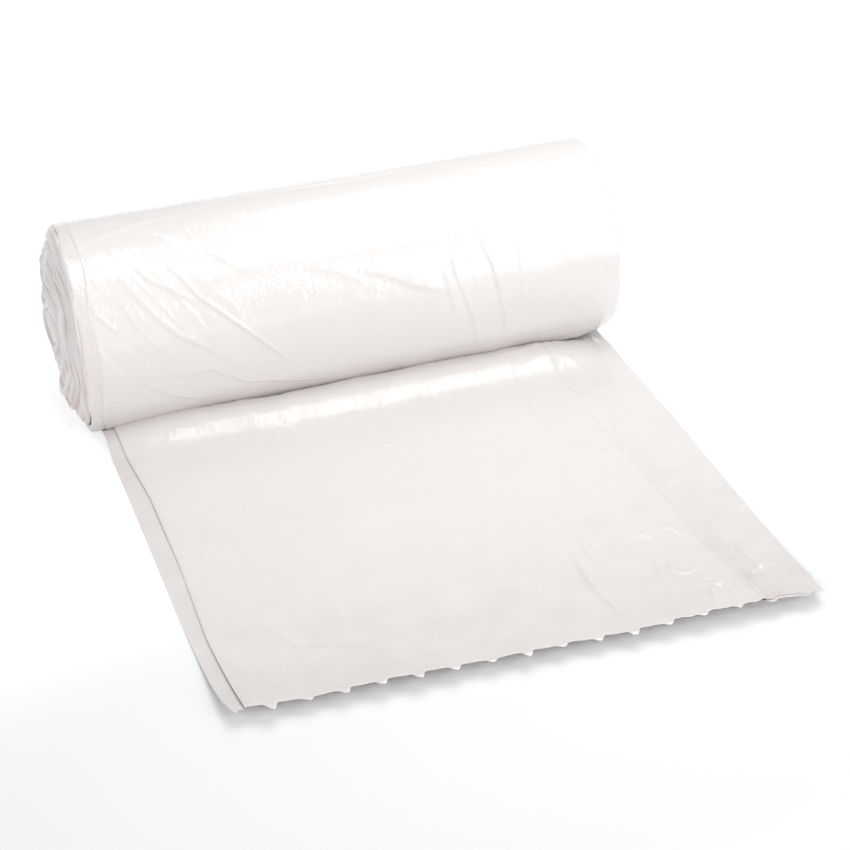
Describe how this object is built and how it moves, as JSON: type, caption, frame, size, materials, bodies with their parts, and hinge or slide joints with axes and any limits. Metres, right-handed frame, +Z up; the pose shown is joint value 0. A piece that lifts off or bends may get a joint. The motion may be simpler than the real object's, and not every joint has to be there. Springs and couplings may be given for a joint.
{
  "type": "bin bag roll",
  "caption": "Coreless roll of white plastic film bin bags lying on its side, with the leading bag pulled out flat and its torn perforated edge curling up.",
  "frame": {"origin": "on the floor, at the middle of the flat spot that the roll rests on", "axes": "+X along the roll, -Y towards the torn edge of the leading bag, +Z up"},
  "size_m": [0.2668, 0.313, 0.0942],
  "materials": {
    "film": "thin translucent white polyethylene film, softly glossy, with fine wrinkles"
  },
  "bodies": {
    "root": {"bag_roll": "film"}
  },
  "joints": []
}
